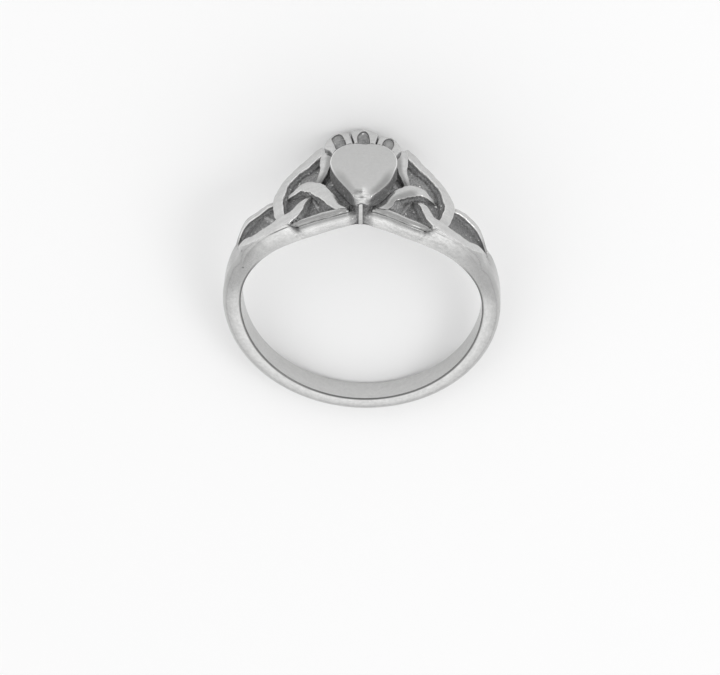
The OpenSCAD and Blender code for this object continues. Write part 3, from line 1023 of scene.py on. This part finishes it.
def silver_material():
    material = bpy.data.materials.new("cast_silver")
    material.use_nodes = True
    tree = material.node_tree
    tree.nodes.clear()
    place = node(tree, "ShaderNodeTexCoord").outputs["Object"]

    def given(name, output="Fac"):
        return node(tree, "ShaderNodeAttribute", attribute_name=name).outputs[output]

    def noise(scale, detail, rough=0.55, vector=place):
        return node(tree, "ShaderNodeTexNoise", {
            "Vector": vector, "Scale": scale, "Detail": detail, "Roughness": rough}).outputs["Fac"]

    def between(value, low, high, to_low, to_high):
        return node(tree, "ShaderNodeMapRange", {
            "Value": value, "From Min": low, "From Max": high, "To Min": to_low, "To Max": to_high,
        }, clamp=True).outputs["Result"]

    def maths(operation, a, b):
        return node(tree, "ShaderNodeMath", {0: a, 1: b}, operation=operation).outputs["Value"]

    def mix(share, a, b):
        a, b = (c if isinstance(c, bpy.types.NodeSocket) else (*c, 1.0) for c in (a, b))
        n = node(tree, "ShaderNodeMix", {"Factor": share, 6: a, 7: b}, data_type="RGBA")
        return n.outputs[2]

    # The first attribute is the oxide in the hollows together with painted dark lines of shade; the
    # second scales the colour with painted light and shade.
    oxide_and_shade, painted_shading, wear = given("oxide_and_shade"), given("painted_shading"), given("wear")
    grain = noise(9000.0, 3.0)
    cloud = noise(1500.0, 3.0)
    fine = noise(4500.0, 2.0)
    streak = noise(3.2, 3.0, 0.6, given("run", "Vector"))
    patch = maths("MULTIPLY", between(cloud, 0.35, 0.65, -0.15, 0.15),
                  between(oxide_and_shade, 0.0, 0.25, 0.0, 1.0))
    dark = between(maths("ADD", oxide_and_shade, patch), 0.06, 0.8, 0.0, 1.0)

    # Oxide in the sunk places, with light grains of bare metal in it
    ground = mix(between(grain, 0.35, 0.7, 0.0, 1.0), *OXIDE)
    cells = node(tree, "ShaderNodeTexVoronoi", {"Vector": place, "Scale": 3300.0})
    pick = node(tree, "ShaderNodeSeparateColor", {0: cells.outputs["Color"]})
    size = between(pick.outputs["Green"], 0.0, 1.0, 0.1, 0.3)
    grains = maths("MULTIPLY", maths("LESS_THAN", cells.outputs["Distance"], size),
                   maths("GREATER_THAN", pick.outputs["Red"], 0.76))
    ground = mix(grains, ground, BARE)

    # Polished silver, with fine marks where it was filed, scaled by the painted light and shade
    polished = mix(between(fine, 0.3, 0.7, 0.0, 1.0), *POLISHED)
    filed = maths("ADD", between(streak, 0.32, 0.68, -0.3, 0.3), between(fine, 0.3, 0.7, -0.1, 0.1))
    shine = maths("ADD", maths("MULTIPLY", maths("MULTIPLY", filed, wear), painted_shading), painted_shading)
    lit = node(tree, "ShaderNodeVectorMath", {0: mix(dark, polished, ground), "Scale": shine},
               operation="SCALE")
    colour = lit.outputs["Vector"]
    for angle, radius, across, reach, strength, shade in MARKS:
        spot = to_row([at(angle, radius, across)])[0].tolist()
        off = node(tree, "ShaderNodeVectorMath", {0: place, 1: spot}, operation="DISTANCE")
        cover = between(off.outputs["Value"], 0.0004 * reach, 0.001 * reach, strength, 0.0)
        colour = mix(cover, colour, (shade, shade, shade))

    rough = node(tree, "ShaderNodeMix", {
        "Factor": dark, 2: between(noise(2500.0, 4.0), 0.3, 0.7, 0.17, 0.27), 3: 0.5,
    }, data_type="FLOAT")
    height = maths("MULTIPLY", maths("ADD", grain, maths("MULTIPLY", noise(3000.0, 2.0), 2.0)),
                   maths("ADD", maths("MULTIPLY", wear, 0.05), between(dark, 0.0, 1.0, 0.0, 1.0)))
    bump = node(tree, "ShaderNodeBump", {"Height": height, "Strength": 0.5, "Distance": 0.00004})
    shader = node(tree, "ShaderNodeBsdfPrincipled", {
        "Base Color": colour,
        "Roughness": rough.outputs[0],
        "Metallic": between(dark, 0.0, 1.0, 1.0, 0.3),
        "Normal": bump.outputs["Normal"],
    })
    node(tree, "ShaderNodeOutputMaterial", {"Surface": shader.outputs["BSDF"]})
    return material


def floor_material():
    material = bpy.data.materials.new("pale_floor")
    material.use_nodes = True
    shader = material.node_tree.nodes["Principled BSDF"]
    shader.inputs["Base Color"].default_value = (*FLOOR, 1)
    shader.inputs["Roughness"].default_value = 0.7
    shader.inputs["Specular IOR Level"].default_value = 0.2
    return material


# Places where one side of a strand is painted darker as shade: its near side, and its side toward
# the heart
near_dark = (8.0, 13.5, "near")
heart_dark = (0.3, 4.5, "heart")
knot = [
    strand(OUTER_STRAND, 0.4, -1, rimmed=8.6, lean=near_dark),
    strand(INNER_STRAND, 1.9, -1),
    strand(CROSS_STRAND, 3.1, -1, lean=heart_dark),
    strand(RIB, 0.7, -1, rise=0.25, oxide_and_painted_fill=0.7),
    strand(SHOULDER_RIB, 0.3, -1, rise=0.22, oxide_and_painted_fill=0.55),
]
other_knot = [
    strand(OTHER_OUTER, 1.3, 1, rimmed=8.6, lean=near_dark),
    strand(OTHER_INNER, 0.2, 1, lean=(0.0, 4.6, "near")),
    strand(OTHER_CROSS, 2.2, 1, lean=heart_dark),
    strand(RIB, 1.6, 1, rise=0.25, oxide_and_painted_fill=0.7),
]
shells = [band(), heart(), post()] + [lobe(name) for name in LOBES]
shells += [shell.mirrored() for shell in knot] + other_knot
ring = make_piece("cast_ring", shells, silver_material())
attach(ring, "root")
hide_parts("ring")

# The floor and the studio

scene = bpy.context.scene
mesh = bpy.data.meshes.new("floor")
reach = 1.5
mesh.from_pydata([(-reach, -reach, 0), (reach, -reach, 0), (reach, reach, 0), (-reach, reach, 0)],
                 [], [(0, 1, 2, 3)])
mesh.materials.append(floor_material())
floor = bpy.data.objects.new("floor", mesh)
scene.collection.objects.link(floor)


def studio():
    """Light from all round, less of it from low down, and a grey card beside the lens."""
    world = bpy.data.worlds.new("studio")
    scene.world = world
    world.use_nodes = True
    sky = world.node_tree
    heading = node(sky, "ShaderNodeTexCoord").outputs["Generated"]
    rise = node(sky, "ShaderNodeSeparateXYZ", {0: heading}).outputs["Z"]
    glow = node(sky, "ShaderNodeValToRGB", {"Fac": rise})
    stops = glow.color_ramp.elements
    for place, light in SKY:
        stop = stops.new(place) if 0 < place < 1 else stops[-1 if place else 0]
        stop.color = (light, light, light, 1)
    facing = node(sky, "ShaderNodeVectorMath", {0: heading, 1: CARD_WAY},
                  operation="DOT_PRODUCT")
    card = node(sky, "ShaderNodeMapRange", {
        "Value": facing.outputs["Value"], "From Min": CARD_RIM, "From Max": CARD_FULL,
        "To Min": 1.0, "To Max": CARD_LIGHT})
    total = node(sky, "ShaderNodeMath", {0: glow.outputs["Color"], 1: card.outputs["Result"]},
                 operation="MULTIPLY")
    background = sky.nodes["Background"]
    background.inputs["Color"].default_value = (1, 1, 1, 1)
    sky.links.new(total.outputs["Value"], background.inputs["Strength"])


def key_light(place, width, watts):
    """One soft light, aimed at the ring."""
    data = bpy.data.lights.new("key", "AREA")
    data.shape = "RECTANGLE"
    data.size = data.size_y = width
    data.energy = watts
    light = bpy.data.objects.new("key", data)
    light.location = place
    light.rotation_euler = (-Vector(place)).to_track_quat("-Z", "Y").to_euler()
    scene.collection.objects.link(light)


def photo_camera():
    """The camera stands where the photograph was taken from, as far from the ring and as high
    over it."""
    yaw, roll = radians(2.3), radians(0.2)
    distance = 0.2
    pixels_per_mm = 13.893
    image_w, image_h = 720, 675
    centre_x, centre_y = 361.82, 299.06
    c, s = cos(rest_tilt), sin(rest_tilt)
    across, outward, crownward = Vector((-1, 0, 0)), Vector((0, -c, s)), Vector((0, -s, -c))
    right = across * cos(yaw) + crownward * sin(yaw)
    away = -across * sin(yaw) + crownward * cos(yaw)
    up = outward * cos(camera_lift) + away * sin(camera_lift)
    back = outward * sin(camera_lift) - away * cos(camera_lift)
    right, up = right * cos(roll) + up * sin(roll), up * cos(roll) - right * sin(roll)
    focal = pixels_per_mm * distance * 1000
    data = bpy.data.cameras.new("camera")
    data.sensor_fit = "HORIZONTAL"
    data.sensor_width = 36
    data.lens = focal * data.sensor_width / image_w
    data.clip_start = 0.01
    camera = bpy.data.objects.new("camera", data)
    turn = Matrix((right, up, back)).transposed().to_4x4()
    aim = (Matrix.Rotation(atan((centre_x - image_w / 2) / focal), 4, "Y")
           @ Matrix.Rotation(-atan((image_h / 2 - centre_y) / focal), 4, "X"))
    middle = Vector((0, rest_shift / 1000, rest_lift / 1000))
    camera.matrix_world = Matrix.Translation(middle + back * distance) @ turn @ aim
    scene.collection.objects.link(camera)
    return camera


studio()
key_light((-0.3, -0.05, 0.35), 0.16, 0.2)
scene.camera = photo_camera()
scene.view_settings.view_transform = "Standard"
